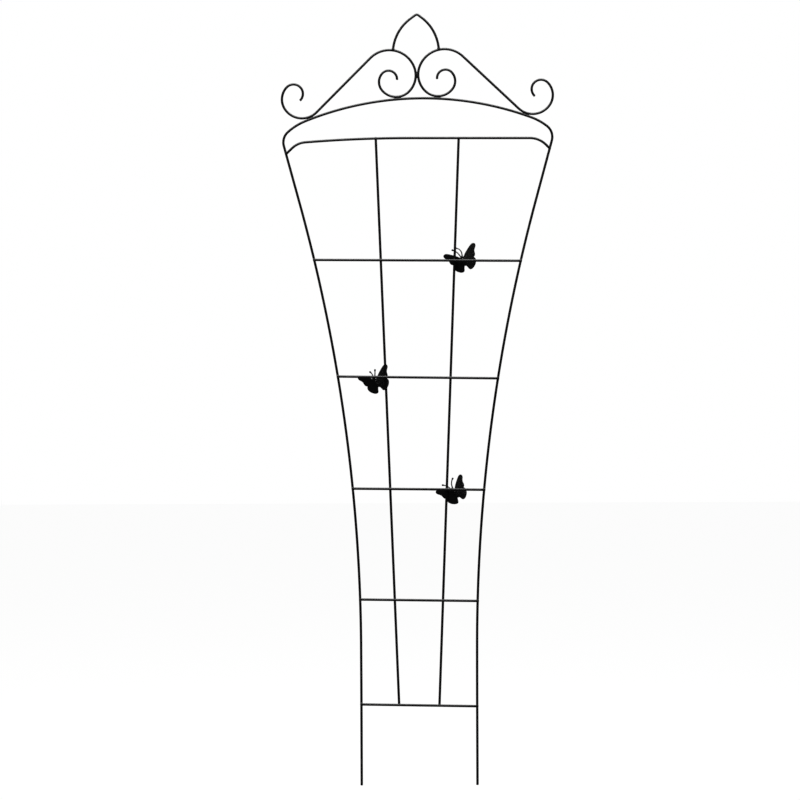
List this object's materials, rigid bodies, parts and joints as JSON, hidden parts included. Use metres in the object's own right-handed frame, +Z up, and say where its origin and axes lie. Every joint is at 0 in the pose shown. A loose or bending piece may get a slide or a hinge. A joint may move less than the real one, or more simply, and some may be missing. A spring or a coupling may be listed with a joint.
{
  "type": "garden trellis",
  "caption": "Flat welded-rod garden trellis with flared sides, arched scroll top and three sheet-metal butterflies, pushed into soil on two stake legs.",
  "frame": {"origin": "midway between the two leg tips, on the plane of the legs", "axes": "+Z up along the legs, +X to the right seen from the front, +Y to the back; the crossbars are on the front (-Y) side of the frame and the butterflies behind them"},
  "size_m": [0.5398, 0.027, 1.524],
  "materials": {
    "coated_rod": "satin black powder coat on steel rod",
    "coated_sheet": "satin black powder coat on embossed sheet steel",
    "coated_weld": "satin black powder coat over weld filler"
  },
  "bodies": {
    "root": {"butterfly_1_antenna_left": "coated_sheet", "butterfly_1_antenna_right": "coated_sheet", "butterfly_1_body": "coated_sheet", "butterfly_1_wings": "coated_sheet", "butterfly_2_antenna_left": "coated_sheet", "butterfly_2_antenna_right": "coated_sheet", "butterfly_2_body": "coated_sheet", "butterfly_2_wings": "coated_sheet", "butterfly_3_antenna_left": "coated_sheet", "butterfly_3_antenna_right": "coated_sheet", "butterfly_3_body": "coated_sheet", "butterfly_3_wings": "coated_sheet", "crossbar_1": "coated_rod", "crossbar_2": "coated_rod", "crossbar_3": "coated_rod", "crossbar_4": "coated_rod", "crossbar_5": "coated_rod", "outer_frame": "coated_rod", "pointed_loop": "coated_rod", "scroll_left": "coated_rod", "scroll_right": "coated_rod", "top_bar": "coated_rod", "upright_left": "coated_rod", "upright_right": "coated_rod", "welds_butterflies": "coated_weld", "welds_crown": "coated_weld", "welds_sides": "coated_weld", "welds_uprights": "coated_weld"}
  },
  "joints": []
}
